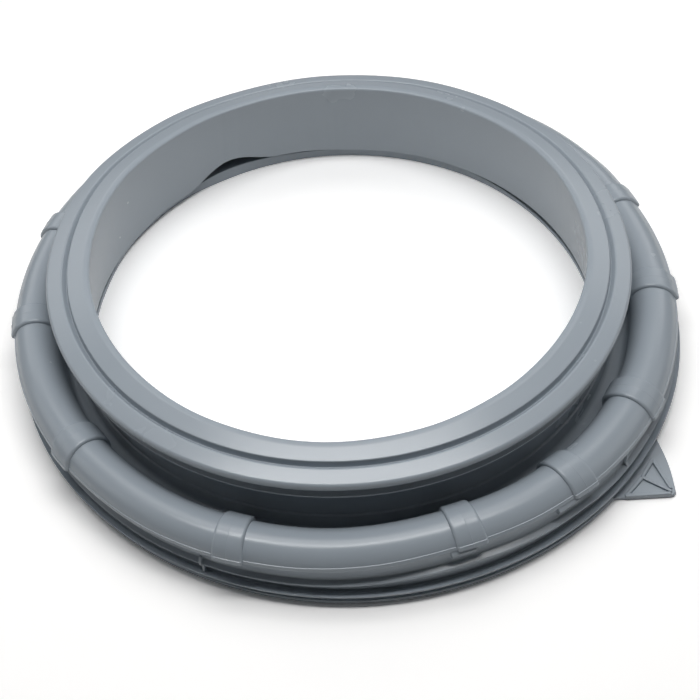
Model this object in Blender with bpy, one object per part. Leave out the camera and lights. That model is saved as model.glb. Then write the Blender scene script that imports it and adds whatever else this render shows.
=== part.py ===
# Washing machine door seal: one grey rubber moulding, lying on its drum side with the door lip on top.
# Metres, +Z up, origin at floor level under the middle of the clamp flange.

import math

import bmesh
import bpy

# Whole moulding
SEAL_HEIGHT = 0.069
RING_STEPS = 72
LIP_OFFSET = 0.0053            # how far the door lip stands off the flange's axis, towards -X
LIP_SETBACK = 0.002            # and towards +Y
DRAFT = 0.0003                 # slight taper on moulded edges

# Skirt: the smooth wall round the opening
LIP_RADIUS = 0.1472
SKIRT_FLARE = 0.0111
SKIRT_WALL = 0.0028
SLOT_HEIGHT = 0.005            # open slot between the skirt and the foot

# Door lip: two sloping bands with a stepped groove between them
LIP_ROUND = 0.0016
CREST_WIDTH = 0.0022
BAND_SLOPE = math.radians(14.7)
INNER_BAND = 0.0095
GROOVE_WIDTH = 0.0039
GROOVE_DEPTH = 0.0012
OUTER_BAND = 0.0082
NOSE_ROUND = 0.0024
NOSE_HEIGHT = 0.0041
LIP_WALL = 0.0034
INSIDE_ROUND = 0.003

# Undercut below the nose, and the thin fin under it
UNDERCUT_DEPTH = 0.0056
UNDERCUT_HEIGHT = 0.0055
UNDERCUT_ROUND = 0.0009
FIN_REACH = 0.0033
FIN_DROP = 0.0015
FIN_EDGE = 0.0013
FIN_TAPER = 0.0065

# Neck, ledge and trough between the lip and the tube
NECK_SETBACK = 0.0086          # from the nose's edge in to the neck's outer face
NECK_WALL = 0.0028
LEDGE_DROP = 0.0009            # below the middle of the tube
LEDGE_STEP = 0.0024
LEDGE_FALL = 0.0008
TROUGH_WIDTH = 0.0076
TROUGH_DEPTH = 0.0118          # below the middle of the tube
TROUGH_WALL = 0.003
TROUGH_ROUND = 0.0022

# Tube: the big half-round fold
TUBE_RADIUS = 0.0135
TUBE_WALL = 0.0029
BEAD_ANGLE = 28
BEAD_WIDTH = 0.0022
BEAD_RISE = 0.0006

# Collars round the tube
COLLAR_RISE = 0.0017
COLLAR_WIDTH = 0.0142
COLLAR_START = 190             # angles on the tube's section
COLLAR_END = 20
COLLAR_ANGLES = (19, 62, 90, 118, 161.7, 186.5, 217.5, 250.4, 287, 306.9, 327.4, 355.5)

# Crease and ridge below the tube
CREASE_ANGLE = -14
CREASE_DEPTH = 0.0014
RIDGE_DROP = 0.0081            # below the middle of the tube
RIDGE_REACH = 0.0005
RIDGE_EDGE = 0.0016

# Channel and clamp flange
CHANNEL_HEIGHT = 0.0089        # from the flange up to the ridge
CHANNEL_DEPTH = 0.0021
FLANGE_HEIGHT = 0.0097
FLANGE_REACH = 0.0029          # beyond the tube
FLANGE_EDGE = 0.0012
FLANGE_DISH = 0.0014
FLANGE_TAPER = 0.002

# Clamp groove, and the foot that the seal lies on
CLAMP_DEPTH = 0.001
CLAMP_GAP = 0.0035
CLAMP_WALL = 0.002
FOOT_SETBACK = 0.002
FOOT_WALL = 0.0024
FOOT_STEP = 0.0011             # from the skirt's lower edge out to the bore
FOOT_TAPER = 0.0004
FOOT_CHAMFER = 0.0008

# Cut in the skirt's lower edge
NOTCH_ANGLE = 118
NOTCH_RISE = 0.0132
NOTCH_NEAR = 13                # degrees from the top of the cut to its steep end
NOTCH_FAR = 19
NOTCH_STEPS = 12

# Pads, gusset and cross rib in the crease under the tube
PAD_ANGLES = (286.5, 304)
PAD_WIDTH = 0.0135
PAD_HEIGHT = 0.0042
PAD_RISE = 0.0008
GUSSET_ANGLE = 318.1
CROSS_RIB_ANGLE = 246.9
RIB_WIDTH = 0.0016
ROOT = 0.001                   # how far a fitting reaches into the wall behind it

# Pull tab on the foot
TAB_ANGLE = 320.3
TAB_SPREAD = 0.048
TAB_REACH = 0.02
TAB_BULGE = 0.0015
TAB_TIP = 0.0016
TAB_THICKNESS = 0.0022
TAB_RIBS = (-0.62, 0, 0.55)    # places across the tab's root
TAB_RIB_LENGTH = 0.9           # share of the way to the tip
TAB_RIB_RISE = 0.001
TAB_RIB_WIDTH = 0.0014

RUBBER = (0.29, 0.33, 0.37, 1.0)


def clear_scene():
    for item in list(bpy.data.objects):
        bpy.data.objects.remove(item, do_unlink=True)


def rubber():
    material = bpy.data.materials.new("grey_rubber")
    material.use_nodes = True
    shader = material.node_tree.nodes["Principled BSDF"]
    shader.inputs["Base Color"].default_value = RUBBER
    shader.inputs["Roughness"].default_value = 0.5
    shader.inputs["Metallic"].default_value = 0.0
    return material


def arc(centre, radius, first, last, steps):
    """Points on an arc of the section, angles in degrees."""
    points = []
    for step in range(steps + 1):
        angle = math.radians(first + (last - first) * step / steps)
        points.append((centre[0] + radius * math.cos(angle), centre[1] + radius * math.sin(angle)))
    return points


# Heights in the section, from the floor up

def ridge_height():
    return FLANGE_HEIGHT + CHANNEL_HEIGHT


def tube_height():
    return ridge_height() + RIDGE_DROP


def trough_floor():
    return tube_height() - TROUGH_DEPTH


def ledge_height():
    return tube_height() - LEDGE_DROP


def skirt_bottom():
    return FOOT_WALL + SLOT_HEIGHT


# Radii in the section, from the opening out

def skirt_radius():
    return LIP_RADIUS + SKIRT_FLARE


def crest_end():
    return LIP_RADIUS + LIP_ROUND + CREST_WIDTH


def band_height(radius):
    return SEAL_HEIGHT - math.tan(BAND_SLOPE) * (radius - crest_end())


def outer_band_end():
    return crest_end() + INNER_BAND + GROOVE_WIDTH + OUTER_BAND


def nose_centre():
    end = outer_band_end()
    return end - NOSE_ROUND * math.sin(BAND_SLOPE), band_height(end) - NOSE_ROUND * math.cos(BAND_SLOPE)


def nose_radius():
    return nose_centre()[0] + NOSE_ROUND


def nose_bottom():
    return band_height(outer_band_end()) - NOSE_HEIGHT


def neck_radius():
    return nose_radius() - NECK_SETBACK


def ledge_radius():
    return neck_radius() + LEDGE_STEP


def tube_side():
    return ledge_radius() + TROUGH_WIDTH


def tube_centre():
    return tube_side() + TUBE_RADIUS, tube_height()


def tube_outside():
    return tube_side() + 2 * TUBE_RADIUS


def flange_radius():
    return tube_outside() + FLANGE_REACH


def foot_radius():
    return flange_radius() - FOOT_SETBACK


def foot_bore():
    return skirt_radius() + FOOT_STEP


def channel_wall():
    """Radius of the wall between the ridge and the flange."""
    return tube_outside() - CHANNEL_DEPTH


def groove_wall():
    """Radius of the wall in the clamp groove."""
    return channel_wall() - CLAMP_DEPTH


def skirt_inside(height):
    """Radius of the skirt's inner face."""
    top = SEAL_HEIGHT - LIP_ROUND
    share = (top - height) / (top - skirt_bottom())
    return LIP_RADIUS + SKIRT_FLARE * share


def under_band(radius):
    """Height of the wall's inner face under the two bands."""
    return band_height(radius) - GROOVE_DEPTH - LIP_WALL


def lip_outline():
    """From the skirt's lower edge up its inner face and out over the two bands to the nose."""
    band_end = crest_end() + INNER_BAND
    groove_end = band_end + GROOVE_WIDTH
    groove_floor = band_height(groove_end) - GROOVE_DEPTH
    points = [(skirt_radius(), skirt_bottom())]
    points += arc((LIP_RADIUS + LIP_ROUND, SEAL_HEIGHT - LIP_ROUND), LIP_ROUND, 180, 90, 2)
    points += [(crest_end(), SEAL_HEIGHT), (band_end, band_height(band_end))]
    points += [(band_end + GROOVE_WIDTH / 5, groove_floor), (groove_end - GROOVE_WIDTH / 3, groove_floor)]
    points += [(groove_end, band_height(groove_end))]
    points += arc(nose_centre(), NOSE_ROUND, 90 - math.degrees(BAND_SLOPE), 0, 2)
    points += [(nose_radius() - DRAFT, nose_bottom())]
    return points


def neck_outline():
    """Undercut, fin, neck, ledge and the trough's floor."""
    wall = nose_radius() - UNDERCUT_DEPTH
    fin_root = nose_bottom() - UNDERCUT_HEIGHT
    fin_tip = fin_root - FIN_DROP
    neck = neck_radius()
    ledge = ledge_radius()
    floor = trough_floor()
    points = [(wall, nose_bottom() - UNDERCUT_ROUND), (wall, fin_root)]
    points += [(wall + FIN_REACH, fin_tip), (wall + FIN_REACH - DRAFT, fin_tip - FIN_EDGE)]
    points += [(neck + FIN_REACH / 2, fin_tip - 2 * FIN_EDGE), (neck, fin_tip - FIN_EDGE - FIN_TAPER)]
    points += [(neck, ledge_height()), (ledge, ledge_height() - LEDGE_FALL)]
    points += [(ledge + 3 * DRAFT, floor + TROUGH_ROUND)]
    points += [((ledge + tube_side()) / 2, floor), (tube_side(), floor + TROUGH_ROUND)]
    return points


def tube_outline():
    """Over the tube from its inner side to the crease under it, with the parting bead on the way."""
    centre = tube_centre()
    half_bead = math.degrees(BEAD_WIDTH / TUBE_RADIUS) / 2
    bead_flat = half_bead * 0.7
    points = arc(centre, TUBE_RADIUS, 180, BEAD_ANGLE + half_bead, 6)
    points += arc(centre, TUBE_RADIUS + BEAD_RISE, BEAD_ANGLE + bead_flat, BEAD_ANGLE - bead_flat, 1)
    points += arc(centre, TUBE_RADIUS, BEAD_ANGLE - half_bead, CREASE_ANGLE, 2)
    crease = points[-1]
    points.append((crease[0] - CREASE_DEPTH, crease[1] - CREASE_DEPTH))
    return points


def clamp_outline():
    """Ridge, channel, clamp flange, clamp groove and foot, down to the floor and in to the bore."""
    ridge = tube_outside() + RIDGE_REACH
    ridge_low = ridge_height() - RIDGE_EDGE / 2
    flange = flange_radius()
    groove_top = FLANGE_HEIGHT - FLANGE_EDGE - FLANGE_TAPER
    groove_floor = groove_top - CLAMP_GAP
    foot = foot_radius()
    points = [(ridge, ridge_height() + RIDGE_EDGE / 2), (ridge - DRAFT, ridge_low)]
    points += [(channel_wall(), ridge_low - RIDGE_EDGE), (channel_wall() + DRAFT, FLANGE_HEIGHT - FLANGE_DISH)]
    points += [(flange, FLANGE_HEIGHT), (flange, FLANGE_HEIGHT - FLANGE_EDGE)]
    points += [(groove_wall(), groove_top), (groove_wall(), groove_floor)]
    points += [(foot - DRAFT, groove_floor - FOOT_TAPER), (foot, FOOT_CHAMFER)]
    points += [(foot - FOOT_CHAMFER, 0), (foot_bore(), 0), (foot_bore(), FOOT_WALL)]
    return points


def hollow_outline():
    """The inner face of the wall, from the foot round the tube and up the neck to the skirt's outer face."""
    inner = TUBE_RADIUS - TUBE_WALL
    side = tube_side() + TUBE_WALL
    floor = trough_floor() - TROUGH_WALL
    ledge = ledge_radius() - NECK_WALL
    neck = neck_radius() - NECK_WALL
    lip = nose_radius() - UNDERCUT_DEPTH - NECK_WALL
    lip_turn = lip - INSIDE_ROUND
    skirt = skirt_inside(SEAL_HEIGHT) + SKIRT_WALL
    skirt_turn = skirt + INSIDE_ROUND
    skirt_top = under_band(skirt) - INSIDE_ROUND
    points = [(groove_wall() - CLAMP_WALL, FOOT_WALL)]
    points += arc(tube_centre(), inner, 2 * CREASE_ANGLE, 170, 4)
    points += [(side, trough_floor() + TROUGH_ROUND / 2), (side - TUBE_WALL, floor)]
    points += [(ledge + NECK_WALL / 2, floor), (ledge, floor + TROUGH_WALL), (ledge, ledge_height() - NECK_WALL)]
    points += [(neck, ledge_height()), (neck, nose_bottom() - 2 * UNDERCUT_HEIGHT)]
    points += [(lip, nose_bottom() - UNDERCUT_HEIGHT), (lip, under_band(lip) - INSIDE_ROUND)]
    points += [(lip_turn, under_band(lip_turn)), (skirt_turn, under_band(skirt_turn))]
    points += [(skirt_inside(skirt_top) + SKIRT_WALL, skirt_top), (skirt_radius() + SKIRT_WALL, skirt_bottom())]
    return points


def set_off_centre(mesh):
    """Leans the section, most of all down and out at the flange, so the lip's axis stands beside the flange's."""
    for vertex in mesh.verts:
        out = (vertex.co.xy.length - LIP_RADIUS) / (flange_radius() - LIP_RADIUS)
        drop = (SEAL_HEIGHT - vertex.co.z) / (SEAL_HEIGHT - FLANGE_HEIGHT)
        share = out * drop ** 2
        vertex.co.x -= LIP_OFFSET * (1 - share)
        vertex.co.y += LIP_SETBACK * (1 - share)


def add_section(mesh, outline, angle):
    """Puts a closed outline of (radius, height) into the half plane at an angle in degrees."""
    turn = math.radians(angle)
    verts = [mesh.verts.new((r * math.cos(turn), r * math.sin(turn), z)) for r, z in outline]
    edges = [mesh.edges.new((verts[i - 1], verts[i])) for i in range(len(verts))]
    return verts, edges


def turn_ring(mesh, outline):
    """Turns a closed outline right round."""
    verts, edges = add_section(mesh, outline, 0)
    bmesh.ops.spin(mesh, geom=verts + edges, cent=(0, 0, 0), axis=(0, 0, 1), angle=math.tau,
                   steps=RING_STEPS, use_merge=True)
    bmesh.ops.remove_doubles(mesh, verts=mesh.verts, dist=1e-6)


def turn_block(mesh, outline, angle, width, steps=1):
    """Turns a closed outline through a short width, measured at its outer edge, and closes both ends."""
    reach = max(r for r, z in outline)
    spread = width / reach
    verts, edges = add_section(mesh, outline, angle - math.degrees(spread) / 2)
    first = mesh.faces.new(verts)
    turned = bmesh.ops.spin(mesh, geom=verts + edges, cent=(0, 0, 0), axis=(0, 0, 1), angle=spread, steps=steps)
    last_edges = [item for item in turned["geom_last"] if isinstance(item, bmesh.types.BMEdge)]
    bmesh.ops.contextual_create(mesh, geom=last_edges)
    return first


def new_object(name, mesh, material=None):
    bmesh.ops.recalc_face_normals(mesh, faces=mesh.faces)
    data = bpy.data.meshes.new(name)
    mesh.to_mesh(data)
    mesh.free()
    data.shade_smooth()
    data.set_sharp_from_angle(angle=math.radians(35))
    item = bpy.data.objects.new(name, data)
    bpy.context.scene.collection.objects.link(item)
    if material:
        data.materials.append(material)
    return item


def guide(name, mesh):
    """A solid that only shapes the seal."""
    set_off_centre(mesh)
    item = new_object(name, mesh)
    item.hide_render = True
    item.display_type = "WIRE"
    return item


def combine(target, other, operation):
    boolean = target.modifiers.new(other.name, "BOOLEAN")
    boolean.operation = operation
    boolean.object = other
    boolean.solver = "EXACT"


def collars():
    mesh = bmesh.new()
    outside = arc(tube_centre(), TUBE_RADIUS + COLLAR_RISE, COLLAR_START, COLLAR_END, 8)
    inside = arc(tube_centre(), TUBE_RADIUS - TUBE_WALL / 2, COLLAR_END, COLLAR_START, 5)
    for angle in COLLAR_ANGLES:
        turn_block(mesh, outside + inside, angle, COLLAR_WIDTH)
    return guide("collars", mesh)


def crease_fittings():
    """Small pads under two collars, a gusset under the tube and a rib across the channel."""
    mesh = bmesh.new()
    wall = channel_wall() - ROOT
    outside = tube_outside()
    pad_face = outside + PAD_RISE
    pad_top = tube_height() + TUBE_RADIUS * math.sin(math.radians(COLLAR_END)) - BEAD_RISE
    pad = [(wall, pad_top), (pad_face, pad_top), (pad_face, pad_top - PAD_HEIGHT),
           (wall, pad_top - PAD_HEIGHT - PAD_RISE)]
    for angle in PAD_ANGLES:
        turn_block(mesh, pad, angle, PAD_WIDTH)
    under_tube = [(wall, tube_height()), (outside - DRAFT, tube_height())]
    gusset = under_tube + [(outside + RIDGE_REACH / 2, ridge_height()), (wall, ridge_height())]
    turn_block(mesh, gusset, GUSSET_ANGLE, RIB_WIDTH)
    low = FLANGE_HEIGHT - FLANGE_EDGE
    rib = under_tube + [(outside + 2 * RIDGE_REACH, ridge_height()), (outside + RIDGE_REACH, low), (wall, low)]
    turn_block(mesh, rib, CROSS_RIB_ANGLE, RIB_WIDTH)
    return guide("crease_fittings", mesh)


def notch_height(angle):
    """Height of the skirt's lower edge in the cut, steep on one side and easy on the other."""
    away = angle - NOTCH_ANGLE
    flank = NOTCH_FAR if away > 0 else NOTCH_NEAR
    share = min(abs(away) / flank, 1)
    return skirt_bottom() + NOTCH_RISE * (1 + math.cos(math.pi * share)) / 2


def notch_cutter():
    """A bent block through the skirt alone, whose top follows the cut."""
    mesh = bmesh.new()
    low = FOOT_WALL + SLOT_HEIGHT / 2
    inside = LIP_RADIUS
    outside = (skirt_radius() + SKIRT_WALL + neck_radius() - NECK_WALL) / 2
    rows = []
    for step in range(NOTCH_STEPS + 1):
        angle = NOTCH_ANGLE - NOTCH_NEAR + (NOTCH_NEAR + NOTCH_FAR) * step / NOTCH_STEPS
        high = notch_height(angle)
        corners = [(inside, low), (inside, high), (outside, high), (outside, low)]
        turn = math.radians(angle)
        rows.append([mesh.verts.new((r * math.cos(turn), r * math.sin(turn), z)) for r, z in corners])
    for near, far in zip(rows, rows[1:]):
        for i in range(4):
            mesh.faces.new((near[i - 1], near[i], far[i], far[i - 1]))
    mesh.faces.new(rows[0])
    mesh.faces.new(rows[-1])
    return guide("notch_cutter", mesh)


def tab_edge(start, end, steps):
    """A slightly bowed edge of the tab between two points, in plan."""
    across = (end[1] - start[1], start[0] - end[0])
    length = math.hypot(*across)
    points = []
    for step in range(steps):
        share = step / steps
        bow = TAB_BULGE * math.sin(math.pi * share) / length
        points.append((start[0] + (end[0] - start[0]) * share + across[0] * bow,
                       start[1] + (end[1] - start[1]) * share + across[1] * bow))
    return points


def tab_points():
    """Root ends and tip of the tab in plan, in a frame whose +X points out along the tab."""
    root = foot_radius() - 2 * FOOT_CHAMFER
    half = TAB_SPREAD / 2
    near = (math.sqrt(root ** 2 - half ** 2), -half)
    far = (near[0], half)
    tip = (flange_radius() + TAB_REACH, 0)
    return near, far, tip


def turned_to_tab(point, height):
    turn = math.radians(TAB_ANGLE)
    x = point[0] * math.cos(turn) - point[1] * math.sin(turn)
    y = point[0] * math.sin(turn) + point[1] * math.cos(turn)
    return x, y, height


def plate(mesh, outline, low, high):
    bottom = mesh.faces.new([mesh.verts.new(turned_to_tab(p, low)) for p in outline])
    raised = bmesh.ops.extrude_face_region(mesh, geom=[bottom], use_keep_orig=True)
    for item in raised["geom"]:
        if isinstance(item, bmesh.types.BMVert):
            item.co.z = high


def tab():
    """The flat three-cornered tab, its tip blunted."""
    mesh = bmesh.new()
    near, far, tip = tab_points()
    tip_near = (tip[0], -TAB_TIP / 2)
    tip_far = (tip[0], TAB_TIP / 2)
    outline = tab_edge(near, tip_near, 5) + tab_edge(tip_near, tip_far, 1) + tab_edge(tip_far, far, 5) + [far]
    plate(mesh, outline, 0, TAB_THICKNESS)
    return guide("tab", mesh)


def tab_ribs():
    """Three thin ribs fanning from the foot to the tab's tip."""
    mesh = bmesh.new()
    near, far, tip = tab_points()
    root = foot_radius() - FOOT_CHAMFER
    for place in TAB_RIBS:
        start = (root, place * TAB_SPREAD / 2)
        along = (tip[0] - start[0], tip[1] - start[1])
        length = math.hypot(*along)
        side = (-along[1] / length * TAB_RIB_WIDTH / 2, along[0] / length * TAB_RIB_WIDTH / 2)
        end = (start[0] + along[0] * TAB_RIB_LENGTH, start[1] + along[1] * TAB_RIB_LENGTH)
        outline = [(start[0] - side[0], start[1] - side[1]), (end[0] - side[0] / 3, end[1] - side[1] / 3),
                   (end[0] + side[0] / 3, end[1] + side[1] / 3), (start[0] + side[0], start[1] + side[1])]
        plate(mesh, outline, TAB_THICKNESS / 2, TAB_THICKNESS + TAB_RIB_RISE)
    return guide("tab_ribs", mesh)


def door_seal(material):
    mesh = bmesh.new()
    outline = lip_outline() + neck_outline() + tube_outline() + clamp_outline() + hollow_outline()
    turn_ring(mesh, outline)
    set_off_centre(mesh)
    seal = new_object("door_seal", mesh, material)
    for addition in (collars(), crease_fittings(), tab(), tab_ribs()):
        combine(seal, addition, "UNION")
    combine(seal, notch_cutter(), "DIFFERENCE")
    return seal


clear_scene()
door_seal(rubber())
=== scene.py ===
# Grey rubber door seal of a front-loading washer, lying with its door lip up.
# Its section is drawn once and turned round, then it gets its collars, its cut, its slack and its lean.
# The small fittings, the pull tab, the floor, the lamps and the camera follow.

import math

import bpy
from mathutils import Matrix, Vector


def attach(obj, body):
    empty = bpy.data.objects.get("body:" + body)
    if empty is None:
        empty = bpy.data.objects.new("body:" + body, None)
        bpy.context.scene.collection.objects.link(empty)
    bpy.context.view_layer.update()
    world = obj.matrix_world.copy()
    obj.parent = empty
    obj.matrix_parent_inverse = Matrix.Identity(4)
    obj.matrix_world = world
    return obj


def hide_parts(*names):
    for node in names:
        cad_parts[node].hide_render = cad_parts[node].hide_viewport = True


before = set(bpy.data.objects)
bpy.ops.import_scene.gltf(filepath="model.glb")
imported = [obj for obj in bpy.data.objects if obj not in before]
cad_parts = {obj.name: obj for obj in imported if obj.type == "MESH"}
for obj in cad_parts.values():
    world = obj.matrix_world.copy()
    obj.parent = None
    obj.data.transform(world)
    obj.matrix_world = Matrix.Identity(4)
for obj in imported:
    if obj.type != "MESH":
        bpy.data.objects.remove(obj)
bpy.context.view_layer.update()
mm = 0.001


# Hand tools: a closed path of points, picking by place, rounding, reshaping and finishing a piece

handTools = {
    "samePlace": 0.01,  # millimetres between points that count as one
    "cornerSegments": 4,
    "bevelSegments": 3,
    "bevelAngle": 30,
    "smoothAngle": 35,
}
samePlace = handTools["samePlace"] * mm


def deselectAll():
    bpy.ops.object.select_all(action="DESELECT")


def takePiece(piece):
    # makes it the only piece that is selected
    deselectAll()
    piece.select_set(True)
    bpy.context.view_layer.objects.active = piece


def startPath(name, place):
    # a plane merged to one vertex, which the path is then extruded from
    deselectAll()
    bpy.ops.mesh.primitive_plane_add(size=mm, location=place)
    piece = bpy.context.object
    piece.name = name
    piece.data.name = name
    bpy.ops.object.transform_apply(location=True, rotation=True, scale=True)
    bpy.ops.object.mode_set(mode="EDIT")
    bpy.ops.mesh.select_mode(type="VERT")
    bpy.ops.mesh.select_all(action="SELECT")
    bpy.ops.mesh.merge(type="CENTER")
    return piece


def pickPlaces(piece, places):
    # selects the vertices that lie at any of the places
    bpy.ops.object.mode_set(mode="EDIT")
    bpy.ops.mesh.select_mode(type="VERT")
    bpy.ops.mesh.select_all(action="DESELECT")
    bpy.ops.object.mode_set(mode="OBJECT")
    for vertex in piece.data.vertices:
        vertex.select = any((vertex.co - place).length < samePlace for place in places)
    bpy.ops.object.mode_set(mode="EDIT")


def drawPath(name, places):
    # the last point is joined to the first
    places = [Vector(place) for place in places]
    piece = startPath(name, places[0])
    for last, place in zip(places, places[1:]):
        bpy.ops.mesh.extrude_region_move(TRANSFORM_OT_translate={"value": place - last})
    pickPlaces(piece, [places[0], places[-1]])
    bpy.ops.mesh.edge_face_add()
    return piece


def roundCorners(piece, corners):
    # corners are (place, how far the rounding reaches along the path)
    for size in sorted({reach for place, reach in corners if reach > 0}):
        pickPlaces(piece, [Vector(place) for place, reach in corners if reach == size])
        bpy.ops.mesh.bevel(offset=size, offset_type="OFFSET", segments=handTools["cornerSegments"],
                           profile=0.5, affect="VERTICES")


def makeSlab(name, places, across, rounding):
    # a flat outline, filled, given its thickness and rounded at its edges
    piece = drawPath(name, places)
    bpy.ops.mesh.select_all(action="SELECT")
    bpy.ops.mesh.edge_face_add()
    bpy.ops.mesh.extrude_region_move(TRANSFORM_OT_translate={"value": across})
    bpy.ops.mesh.select_all(action="SELECT")
    bpy.ops.mesh.normals_make_consistent(inside=False)
    bpy.ops.object.mode_set(mode="OBJECT")
    takePiece(piece)
    bevel = piece.modifiers.new("rounding", "BEVEL")
    bevel.width = rounding * mm
    bevel.segments = handTools["bevelSegments"]
    bevel.limit_method = "ANGLE"
    bevel.angle_limit = math.radians(handTools["bevelAngle"])
    bpy.ops.object.modifier_apply(modifier=bevel.name)
    return piece


def reshapeRing(piece, rule):
    # the rule gives a point's new radius and height, from its radius, its height and its angle round the ring
    for vertex in piece.data.vertices:
        x, y, height = vertex.co / mm
        out = math.hypot(x, y)
        newOut, newHeight = rule(out, height, math.degrees(math.atan2(y, x)) % 360)
        if (newOut, newHeight) != (out, height):
            vertex.co = Vector((x * newOut / out, y * newOut / out, newHeight)) * mm


def finishPiece(piece, material):
    takePiece(piece)
    bpy.ops.object.shade_smooth_by_angle(angle=math.radians(handTools["smoothAngle"]))
    flat = piece.modifiers.new("flatFaces", "WEIGHTED_NORMAL")  # wide faces stay flat beside rounded edges
    flat.keep_sharp = True
    bpy.ops.object.modifier_apply(modifier=flat.name)
    piece.data.materials.clear()
    piece.data.materials.append(material)
    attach(piece, "root")


def addNode(tree, kind, values):
    # a node with its sockets set by name
    node = tree.nodes.new(kind)
    for name, value in values.items():
        node.inputs[name].default_value = value
    return node


# Grey rubber: a soft satin skin with a faint grain and cloudy patches

rubberLook = {
    "color": (0.312, 0.354, 0.396, 1),
    "paler": (0.329, 0.371, 0.414, 1),
    "tintRange": (0.25, 0.75),
    "roughness": (0.23, 0.28),
    "glossRange": (0.3, 0.7),
    "ior": 1.5,
    "cloudScale": 11,
    "cloudDetail": 5,
    "cloudRoughness": 0.6,
    "grainScale": 1400,
    "grainDetail": 2,
    "grainStrength": 0.04,
    "grainDepth": 0.2,
}


def makeRubber(look):
    material = bpy.data.materials.new("greyRubber")
    material.use_nodes = True
    tree = material.node_tree
    links = tree.links
    shader = tree.nodes["Principled BSDF"]
    shader.inputs["IOR"].default_value = look["ior"]
    place = addNode(tree, "ShaderNodeTexCoord", {})
    clouds = addNode(tree, "ShaderNodeTexNoise", {
        "Scale": look["cloudScale"], "Detail": look["cloudDetail"], "Roughness": look["cloudRoughness"]})
    links.new(place.outputs["Object"], clouds.inputs["Vector"])
    tint = addNode(tree, "ShaderNodeValToRGB", {})
    stops = zip(tint.color_ramp.elements, look["tintRange"], (look["color"], look["paler"]))
    for stop, position, color in stops:
        stop.position = position
        stop.color = color
    links.new(clouds.outputs["Fac"], tint.inputs["Fac"])
    links.new(tint.outputs["Color"], shader.inputs["Base Color"])
    gloss = addNode(tree, "ShaderNodeMapRange", {
        "From Min": look["glossRange"][0], "From Max": look["glossRange"][1],
        "To Min": look["roughness"][0], "To Max": look["roughness"][1]})
    links.new(clouds.outputs["Fac"], gloss.inputs["Value"])
    links.new(gloss.outputs["Result"], shader.inputs["Roughness"])
    grain = addNode(tree, "ShaderNodeTexNoise", {"Scale": look["grainScale"], "Detail": look["grainDetail"]})
    links.new(place.outputs["Object"], grain.inputs["Vector"])
    bump = addNode(tree, "ShaderNodeBump", {
        "Strength": look["grainStrength"], "Distance": look["grainDepth"] * mm})
    links.new(grain.outputs["Fac"], bump.inputs["Height"])
    links.new(bump.outputs["Normal"], shader.inputs["Normal"])
    print("rubber mixed")
    return material


# The section: (radius from the axis, height from the floor), radii and heights, all in millimetres

section = {
    # skirt, crest, the two bands with the groove between them, and the nose
    "top": 69,
    "lipRadius": 147.2,
    "lipDraft": 0.15,
    "skirtFoot": (158.3, 7.4),
    "skirtWall": 2.8,
    "crestEnd": 151,
    "bandSlope": 14.7,
    "bandEnd": 160.9,
    "grooveFloor": (161.5, 162.3),
    "grooveEnd": 164.4,
    "grooveDepth": 3.8,
    "noseRadius": 174.4,
    "noseBottom": (174.1, 59.2),
    # undercut, fin, neck, ledge and trough
    "undercutWall": 168.8,
    "undercut": (58.6, 53.7),
    "finTip": (172.3, 51.4),
    "finUnder": ((172.1, 50.1), (167.5, 48.28)),
    "neck": 165.8,
    "neckHeights": (43.6, 25.8),
    "ledge": (167, 25.2),
    "troughInside": 167.8,
    "troughFloor": 14.9,
    # tube, its parting bead and the recess under it
    "tubeCentre": (189.3, 26.7),
    "tubeRadius": 13.5,
    "bead": (27.5, 19.5),
    "beadRise": 0.35,
    "recess": ((201.5, 30.4), (200.8, 27), (200.2, 23.6), (200, 20.6)),
    # ridge, channel, clamp flange, clamp groove, foot and bore
    "ridge": ((203.3, 19.4), (203, 17.8)),
    "channel": ((200.7, 16.2), (201, 8.3)),
    "flange": (205.7, 9.7),
    "flangeEdge": 1.2,
    "clampWall": 199.7,
    "clampHeights": (6.5, 3),
    "foot": ((203.4, 2.6), (203.7, 0.8), (202.9, 0)),
    "bore": 159.4,
    "footWall": 2.4,
}

arcStep = 4  # degrees between the points of the tube's round


def bandHeight(radius):
    slope = math.tan(math.radians(section["bandSlope"]))
    return section["top"] - slope * (radius - section["crestEnd"])


def arcCorners(centre, radius, first, last, step):
    count = max(1, round(abs(last - first) / step))
    corners = []
    for i in range(count + 1):
        angle = math.radians(first + (last - first) * i / count)
        corners.append((centre[0] + radius * math.cos(angle), centre[1] + radius * math.sin(angle), 0))
    return corners


# Each corner is (radius, height, rounding)

def lipCorners():
    s = section
    inner, outer = s["grooveFloor"]
    floor = bandHeight(inner) - s["grooveDepth"]
    return [
        (*s["skirtFoot"], 0.4),
        (s["lipRadius"] - s["lipDraft"], s["top"], 1.7),
        (s["crestEnd"], s["top"], 0.8),
        (s["bandEnd"], bandHeight(s["bandEnd"]), 0.55),
        (inner, floor, 0.3),
        (outer, floor, 0.3),
        (s["grooveEnd"], bandHeight(s["grooveEnd"]), 0.9),
        (s["noseRadius"], bandHeight(s["noseRadius"]), 1.9),
        (*s["noseBottom"], 0.5),
    ]


def neckCorners():
    s = section
    finEdge, finRoot = s["finUnder"]
    return [
        (s["undercutWall"], s["undercut"][0], 0.7),
        (s["undercutWall"], s["undercut"][1], 0.7),
        (*s["finTip"], 0.2),
        (*finEdge, 0.3),
        (*finRoot, 1.2),
        (s["neck"], s["neckHeights"][0], 2),
        (s["neck"], s["neckHeights"][1], 0.5),
        (*s["ledge"], 0.4),
        (s["troughInside"], s["troughFloor"], 2.2),
        (s["tubeCentre"][0] - s["tubeRadius"], s["troughFloor"], 2.4),
    ]


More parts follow.
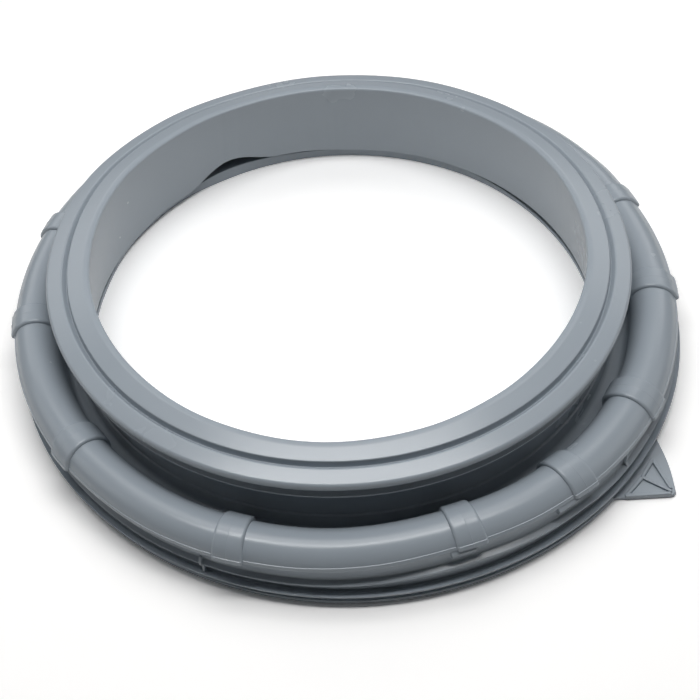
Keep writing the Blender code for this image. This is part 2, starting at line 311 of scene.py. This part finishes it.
def tubeCorners():
    s = section
    centre, radius = s["tubeCentre"], s["tubeRadius"]
    beadTop, beadBottom = s["bead"]
    corners = arcCorners(centre, radius, 180, beadTop + 1, arcStep)
    corners += arcCorners(centre, radius + s["beadRise"], beadTop, beadBottom, arcStep)
    return corners + [(out, height, 0.5) for out, height in s["recess"]]


def clampCorners():
    s = section
    flange, flangeHeight = s["flange"]
    ridgeTop, ridgeBottom = s["ridge"]
    channelTop, channelBottom = s["channel"]
    footTop, footSide, footBottom = s["foot"]
    return [
        (*ridgeTop, 0.35),
        (*ridgeBottom, 0.4),
        (*channelTop, 1.2),
        (*channelBottom, 0.8),
        (flange, flangeHeight, 0.2),
        (flange, flangeHeight - s["flangeEdge"], 0.3),
        (s["clampWall"], s["clampHeights"][0], 0.6),
        (s["clampWall"], s["clampHeights"][1], 0.5),
        (*footTop, 0.4),
        (*footSide, 0),
        (*footBottom, 0),
        (s["bore"], 0, 0.3),
        (s["bore"], s["footWall"], 0.5),
    ]


# The hidden inner face of the wall, kept plain, from the foot up to the crest and down the skirt

hollow = {
    "foot": (197.7, 2.4, 0.5),
    "tubeWall": 2.9,
    "tubeArc": (-28, 170, 24),
    "neck": ((178.7, 16, 0), (175.8, 11.9, 0.8), (165.5, 11.9, 0.8), (164.1, 22.3, 0.8), (162.9, 25.2, 0.8),
             (162.9, 47.7, 0.8), (165.9, 53.7, 0.8)),
    "underBands": (165.9, 151.2),
    "bandWall": 5.4,
    "bandRounding": 2,
    "skirt": ((151.184, 60, 0.8), (161.1, 7.4, 0.4)),
}


def hollowCorners():
    h = hollow
    corners = [h["foot"]]
    corners += arcCorners(section["tubeCentre"], section["tubeRadius"] - h["tubeWall"], *h["tubeArc"])
    corners += h["neck"]
    corners += [(out, bandHeight(out) - h["bandWall"], h["bandRounding"]) for out in h["underBands"]]
    return corners + list(h["skirt"])


# Round the ring: fine steps at each collar's shoulders, wider ones between

collars = {
    "angles": (19, 62, 90, 118, 161.7, 186.5, 217.5, 250.9, 287.7, 308, 328.3, 355.3),
    "halfWidth": 2.45,
    "shoulder": 0.55,
    "shoulderSteps": (0, 0.03, 0.1, 0.22, 0.4, 0.65, 1),
    "shoulderCurve": 2.2,
    "rise": 1.9,
    "seamWidth": 0.1,
    "seamRise": 0.15,
    "skin": 0.7,  # how near the tube's surface a point has to be
    "slopes": (11, 215),  # from under the bead over the top to the trough, as angles round the tube
    "end": (18.5, 15),  # the slopes between which a collar runs out
}
turnStep = 2  # degrees between repeats of the section away from the collars


def collarTurns():
    # angles, in order, at which the section is repeated
    c = collars
    turns = []
    for middle in c["angles"]:
        near = [middle - c["halfWidth"] + c["shoulder"] * share for share in c["shoulderSteps"]]
        seam = [middle - c["seamWidth"], middle, middle + c["seamWidth"]]
        turns += near + seam + [2 * middle - angle for angle in reversed(near)]
    return turns


def turnSection():
    # spins the open edge on from stop to stop, all the way round
    angle = 0
    for stop in collarTurns() + [360]:
        steps = max(1, math.ceil((stop - angle) / turnStep))
        bpy.ops.mesh.spin(steps=steps, angle=math.radians(stop - angle), center=(0, 0, 0), axis=(0, 0, -1))
        angle = stop
    bpy.ops.mesh.select_all(action="SELECT")
    bpy.ops.mesh.remove_doubles(threshold=samePlace)
    bpy.ops.mesh.normals_make_consistent(inside=False)


def limit(share):
    return min(max(share, 0), 1)


def shoulderHeight(share):
    # a rounded shoulder, steep at its foot and level at its top
    curve = collars["shoulderCurve"]
    return (1 - (1 - limit(share)) ** curve) ** (1 / curve)


def collarHeight(angle):
    c = collars
    away = min(abs((angle - middle + 180) % 360 - 180) for middle in c["angles"])
    height = c["rise"] * shoulderHeight((c["halfWidth"] - away) / c["shoulder"])
    if away < c["seamWidth"] / 2:
        height += c["seamRise"]
    return height


def liftCollar(out, height, angle):
    # moves the tube's skin out from the middle of the tube, by the shoulder's curve
    middle, level = section["tubeCentre"]
    across, up = out - middle, height - level
    reach = math.hypot(across, up)
    slope = math.degrees(math.atan2(up, across)) % 360
    low, high = collars["slopes"]
    if abs(reach - section["tubeRadius"]) > collars["skin"] or not low < slope < high:
        return out, height
    top, bottom = collars["end"]
    grown = (reach + collarHeight(angle) * limit((slope - bottom) / (top - bottom))) / reach
    return middle + across * grown, level + up * grown


def giveAt(keys, angle):
    # eases from one key to the next; keys are (angle, millimetres) all round
    angle = (angle - keys[0][0]) % 360 + keys[0][0]
    for (first, low), (last, high) in zip(keys, keys[1:]):
        if first <= angle <= last:
            share = (angle - first) / (last - first)
            return low + (high - low) * (1 - math.cos(math.pi * share)) / 2
    return 0


# The cut in the skirt's lower edge: how far the edge is raised round the ring

cut = {
    "rise": ((84, 0), (105, 2), (118.5, 12.3), (133, -1.6), (150, -2.5), (190, 0), (444, 0)),
    "reach": 1,  # how near the edge a point has to be
}


def raiseCut(out, height, angle):
    foot, footHeight = section["skirtFoot"]
    reach = cut["reach"]
    if abs(height - footHeight) >= reach or out >= foot + section["skirtWall"] + reach:
        return out, height
    slope = (foot - section["lipRadius"]) / (section["top"] - footHeight)
    rise = giveAt(cut["rise"], angle)
    return out - rise * slope, height + rise


# Where the soft rubber has given: (angle, millimetres) round the ring, or degrees for the roll of the tube

give = {
    "settled": ((180, 0), (207, 0.6), (222, 1.2), (240, 2.6), (262, 2.4), (286, 0.4), (303, 2), (315, 3.3),
                (332, 3), (345, 2), (360, 1), (377, 1), (389, 3.2), (403, 4), (416, 3), (440, 0), (540, 0)),
    "rolled": ((180, 4), (218, 8), (244, 7), (257, 3), (270, 0), (285, -4), (300, -3), (312, 0), (325, 6),
               (345, 4), (365, 0), (540, 4)),
    "pulledLip": ((180, 0), (218, 0.3), (243, 1.2), (263, 1.9), (285, 1.1), (303, 0.2), (318, -0.3), (345, 0),
                  (405, 0), (450, 1.1), (495, 0), (540, 0)),
    "spreadLip": ((0, 0.8), (32, 1.8), (62, 0.6), (90, -0.5), (108, -1), (132, 0.3), (155, 2), (180, 1),
                  (215, 0), (325, 0), (360, 0.8)),
    "droopedNose": ((20, 0), (60, 0.6), (90, 1.2), (112, 1.6), (140, 0.4), (160, 0), (380, 0)),
    "openedFoot": ((20, 0), (60, 1.4), (95, 1.9), (118, 2), (132, 3.6), (148, 2.6), (170, 0), (380, 0)),
    "raisedRim": ((30, 0), (60, 3), (95, 3.6), (118, 6), (133, 3), (150, 0), (390, 0)),
    "outShare": 0.45,
    "downShare": 0.63,
}

# The radii and heights over which each of them eases in or out

givesOver = {
    "tubeFoot": (11, 19),
    "tubeTop": (43, 49),
    "tubeInside": (168, 178),
    "lipOut": (149, 160),
    "skirtUp": (2, 20),
    "bandsUp": (50, 64),
    "lipUp": (40, 56),
    "noseOut": (150, 172),
    "footUp": (3, 4),
    "footOut": (162, 185),
    "rimUp": (1, 1.9),
    "rimEnd": (163, 3),
}


def ease(value, span):
    share = limit((value - span[0]) / (span[1] - span[0]))
    return share * share * (3 - 2 * share)


def relaxRubber(out, height, angle):
    # the tube rolls and sags outwards towards the front, the lip's edge is pulled, and the foot opens
    g, over = give, givesOver
    middle, level = section["tubeCentre"]
    onTube = ease(height, over["tubeFoot"]) * (1 - ease(height, over["tubeTop"]))
    onTube *= ease(out, over["tubeInside"])
    sag = giveAt(g["settled"], angle) * onTube
    roll = math.radians(giveAt(g["rolled"], angle)) * onTube
    across, up = out - middle, height - level
    newOut = middle + across * math.cos(roll) + up * math.sin(roll)
    newHeight = level + up * math.cos(roll) - across * math.sin(roll)
    front = max(0, -math.sin(math.radians(angle)))
    newOut += sag * (1 - front * (1 - g["outShare"]))
    newHeight -= sag * front * g["downShare"]

    pull = giveAt(g["pulledLip"], angle) * (1 - ease(out, over["lipOut"])) * ease(height, over["skirtUp"])
    newOut += pull
    newHeight -= pull * math.tan(math.radians(section["bandSlope"])) * ease(height, over["bandsUp"])
    onLip = ease(height, over["lipUp"])
    newOut += giveAt(g["spreadLip"], angle) * onLip
    newHeight -= giveAt(g["droopedNose"], angle) * onLip * ease(out, over["noseOut"])

    onFoot = (1 - ease(height, over["footUp"])) * (1 - ease(out, over["footOut"]))
    newOut += giveAt(g["openedFoot"], angle) * onFoot
    rimOut, rimTop = over["rimEnd"]
    if out < rimOut and height < rimTop:
        newHeight += giveAt(g["raisedRim"], angle) * ease(height, over["rimUp"])
    return newOut, newHeight


# The lean: the flange's axis stands beside the lip's

lean = {"offset": 5.3, "setback": 2, "curve": 2}


def leanPiece(piece):
    lip, flange = section["lipRadius"], section["flange"]
    for vertex in piece.data.vertices:
        x, y, z = vertex.co / mm
        out = (math.hypot(x, y) - lip) / (flange[0] - lip)
        drop = (section["top"] - z) / (section["top"] - flange[1])
        share = 1 - out * drop ** lean["curve"]
        vertex.co = Vector((x - lean["offset"] * share, y + lean["setback"] * share, z)) * mm


def makeSeal(material):
    corners = lipCorners() + neckCorners() + tubeCorners() + clampCorners() + hollowCorners()
    places = [((out * mm, 0, height * mm), size * mm) for out, height, size in corners]
    piece = drawPath("seal", [place for place, size in places])
    roundCorners(piece, places)
    bpy.ops.mesh.select_all(action="SELECT")
    turnSection()
    bpy.ops.object.mode_set(mode="OBJECT")
    for rule in (liftCollar, raiseCut, relaxRubber):
        reshapeRing(piece, rule)
    leanPiece(piece)
    finishPiece(piece, material)
    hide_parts("door_seal")
    print("seal turned:", len(piece.data.vertices), "vertices")


# Small fittings in the crease under the tube, each drawn in section as (radius, height)

pads = {
    "angles": (286.2, 304.3),
    "width": 14,
    "rounding": 0.5,
    "outline": ((198, 31.2), (202, 31.2), (203.5, 29.2), (202.2, 25.6), (198, 24.8)),
}
gusset = {
    "angles": (318.1,),
    "width": 1.5,
    "rounding": 0.3,
    "outline": ((198, 31), (202.2, 31), (202.3, 26), (201.6, 22.5), (203, 19.1), (198, 18.6)),
}
crossRib = {
    "angles": (245.6,),
    "width": 1.6,
    "rounding": 0.3,
    "outline": ((198, 23), (201, 23), (203.3, 20.6), (203.9, 18.6), (202.6, 16), (202.7, 12.5), (204.2, 9.7),
                (198, 8.7)),
}


def turnedPlace(out, height, angle, side):
    # a place at an angle round the seal, moved sideways along its rim
    turn = math.radians(angle)
    x = out * math.cos(turn) - side * math.sin(turn)
    y = out * math.sin(turn) + side * math.cos(turn)
    return Vector((x, y, height)) * mm


def makeWeb(name, web, angle, material):
    # a flat plate across the seal's rim
    places = [turnedPlace(out, height, angle, -web["width"] / 2) for out, height in web["outline"]]
    piece = makeSlab(name, places, turnedPlace(0, 0, angle, web["width"]), web["rounding"])
    reshapeRing(piece, relaxRubber)
    leanPiece(piece)
    finishPiece(piece, material)


def makeFittings(material):
    for i, angle in enumerate(pads["angles"]):
        makeWeb("pad" + str(i + 1), pads, angle, material)
    makeWeb("gusset", gusset, gusset["angles"][0], material)
    makeWeb("crossRib", crossRib, crossRib["angles"][0], material)
    print("fittings in the crease made")


# Pull tab: a flat three-cornered plate with ribs that run to its tip, in millimetres with +X out along it

pullTab = {
    "angle": 320.3,
    "near": ((200.7, -23.6), (225.6, -0.9)),
    "far": ((225.6, 1.5), (200.2, 30.2)),
    "bow": (0.2, 1.6),
    "bowSteps": (6, 12),
    "thickness": 2.3,
    "rounding": 0.45,
}
tabRibs = {
    "lines": (
        ((207, 13.8), (223.2, 1.5)),
        ((207.9, -0.6), (224.4, 0)),
        ((206.6, -17.4), (224.5, -1.3)),
        ((206.9, 14.4), (208.1, -0.4)),
        ((208.1, -0.8), (207.3, -16.6)),
    ),
    "foot": 1,
    "rise": 1.5,
    "width": 2.2,
    "endShare": 0.8,
    "rounding": 0.55,
}


def bowedEdge(start, end, bow, count):
    across = Vector((end[1] - start[1], start[0] - end[0])).normalized()
    edge = []
    for i in range(count):
        share = i / count
        place = Vector(start).lerp(Vector(end), share) + across * bow * math.sin(math.pi * share)
        edge.append(tuple(place))
    return edge


def makePlate(name, outline, low, high, rounding, material):
    places = [turnedPlace(x, low, pullTab["angle"], y) for x, y in outline]
    piece = makeSlab(name, places, Vector((0, 0, high - low)) * mm, rounding)
    leanPiece(piece)
    finishPiece(piece, material)


def makeTab(material):
    t, r = pullTab, tabRibs
    outline = []
    for (start, end), bow, steps in zip((t["near"], t["far"]), t["bow"], t["bowSteps"]):
        outline += bowedEdge(start, end, bow, steps) + [end]
    makePlate("pullTab", outline, 0, t["thickness"], t["rounding"], material)
    for i, (start, end) in enumerate(r["lines"]):
        start, end = Vector(start), Vector(end)
        side = (end - start).orthogonal().normalized() * r["width"] / 2
        tip = side * r["endShare"]
        outline = [start - side, end - tip, end + tip, start + side]
        high = t["thickness"] + r["rise"]
        makePlate("tabRib" + str(i + 1), outline, r["foot"], high, r["rounding"], material)
    print("pull tab made")


# Floor, light and camera

studio = {
    "floorSize": 8,
    "floorColor": (0.96, 0.95, 0.935, 1),
    "floorSeen": (1.27, 1.26, 1.25, 1),  # the camera sees it paler, so that it is white and keeps its shadow
    "floorFade": (0.4, 0.75),  # where it runs into a plain white, as a studio sweep does
    "skyStrength": 0.02,
    "lampDistance": 1.5,
    # angle above the floor, compass angle, width, depth, light at the seal
    "lamps": {
        "softbox": (87, 270, 1.3, 0.2, 1.35),
        "highCard": (66, 90, 1.6, 0.6, 0.65),
        "leftBack": (32, 130, 0.9, 0.5, 0.32),
        "rightBack": (32, 50, 0.9, 0.5, 0.34),
        "leftCard": (28, 180, 0.9, 0.7, 0.22),
        "rightCard": (28, 0, 0.9, 0.7, 0.22),
    },
    # a small card over the opening: place, aim, width, depth, light at the aim, share of it in reflections
    "innerLamp": ((-0.005, -0.04, 0.5), (-0.005, 0.08, 0), 0.4, 0.2, 0.85, 0.3),
}


def mixForCamera(tree, lit, seen, output):
    # the camera sees one shader, and all other rays meet another
    rays = addNode(tree, "ShaderNodeLightPath", {})
    mix = addNode(tree, "ShaderNodeMixShader", {})
    tree.links.new(rays.outputs["Is Camera Ray"], mix.inputs["Fac"])
    tree.links.new(lit, mix.inputs[1])
    tree.links.new(seen, mix.inputs[2])
    tree.links.new(mix.outputs["Shader"], output.inputs["Surface"])


def makeFloor():
    deselectAll()
    bpy.ops.mesh.primitive_plane_add(size=studio["floorSize"])
    floor = bpy.context.object
    floor.name = "floor"
    material = bpy.data.materials.new("paleFloor")
    material.use_nodes = True
    tree = material.node_tree
    links = tree.links
    tree.nodes.clear()
    matte = addNode(tree, "ShaderNodeBsdfDiffuse", {"Color": studio["floorColor"]})
    seen = addNode(tree, "ShaderNodeBsdfDiffuse", {"Color": studio["floorSeen"]})
    white = addNode(tree, "ShaderNodeEmission", {})
    place = addNode(tree, "ShaderNodeTexCoord", {})
    away = addNode(tree, "ShaderNodeVectorMath", {})
    away.operation = "LENGTH"
    near, far = studio["floorFade"]
    fade = addNode(tree, "ShaderNodeMapRange", {"From Min": near, "From Max": far})
    sweep = addNode(tree, "ShaderNodeMixShader", {})
    output = addNode(tree, "ShaderNodeOutputMaterial", {})
    links.new(place.outputs["Object"], away.inputs[0])
    links.new(away.outputs["Value"], fade.inputs["Value"])
    links.new(fade.outputs["Result"], sweep.inputs["Fac"])
    links.new(seen.outputs["BSDF"], sweep.inputs[1])
    links.new(white.outputs["Emission"], sweep.inputs[2])
    mixForCamera(tree, matte.outputs["BSDF"], sweep.outputs["Shader"], output)
    floor.data.materials.append(material)


def makeSky():
    world = bpy.data.worlds.new("studioSky")
    bpy.context.scene.world = world
    world.use_nodes = True
    tree = world.node_tree
    tree.nodes.clear()
    dim = addNode(tree, "ShaderNodeBackground", {"Color": (1, 1, 1, 1), "Strength": studio["skyStrength"]})
    white = addNode(tree, "ShaderNodeBackground", {"Color": (1, 1, 1, 1)})
    output = addNode(tree, "ShaderNodeOutputWorld", {})
    mixForCamera(tree, dim.outputs["Background"], white.outputs["Background"], output)


def addLamp(name, place, away, width, depth, light):
    # faces against "away", whose length is its distance from what it lights
    deselectAll()
    bpy.ops.object.light_add(type="AREA", location=place)
    lamp = bpy.context.object
    lamp.name = name
    lamp.rotation_euler = away.to_track_quat("Z", "Y").to_euler()
    lamp.data.shape = "RECTANGLE"
    lamp.data.size = width
    lamp.data.size_y = depth
    lamp.data.energy = light * math.pi * away.length ** 2
    return lamp


def makeLamps():
    for name, (height, compass, width, depth, light) in studio["lamps"].items():
        high, turn = math.radians(height), math.radians(compass)
        towards = Vector((math.cos(high) * math.cos(turn), math.cos(high) * math.sin(turn), math.sin(high)))
        place = towards * studio["lampDistance"]
        addLamp(name, place, place, width, depth, light)
    place, aim, width, depth, light, reflected = studio["innerLamp"]
    lamp = addLamp("innerLamp", place, Vector(place) - Vector(aim), width, depth, light)
    lamp.data.specular_factor = reflected
    lamp.visible_camera = False


view = {
    "place": (-0.0008, -0.5192, 0.56895),
    "tilt": 49.07,
    "roll": -2.68,
    "lens": 61.71,
    "sensor": 36,
    "nearest": 0.01,
}


def makeCamera():
    deselectAll()
    bpy.ops.object.camera_add()
    camera = bpy.context.object
    tilt = Matrix.Rotation(math.radians(90 - view["tilt"]), 4, "X")
    roll = Matrix.Rotation(math.radians(view["roll"]), 4, "Z")
    camera.matrix_world = Matrix.Translation(view["place"]) @ tilt @ roll
    camera.data.sensor_width = view["sensor"]
    camera.data.lens = view["lens"]
    camera.data.clip_start = view["nearest"]
    bpy.context.scene.camera = camera


rubber = makeRubber(rubberLook)
makeSeal(rubber)
makeFittings(rubber)
makeTab(rubber)
makeFloor()
makeSky()
makeLamps()
makeCamera()
bpy.context.scene.view_settings.view_transform = "Standard"
print("floor, light and camera set")
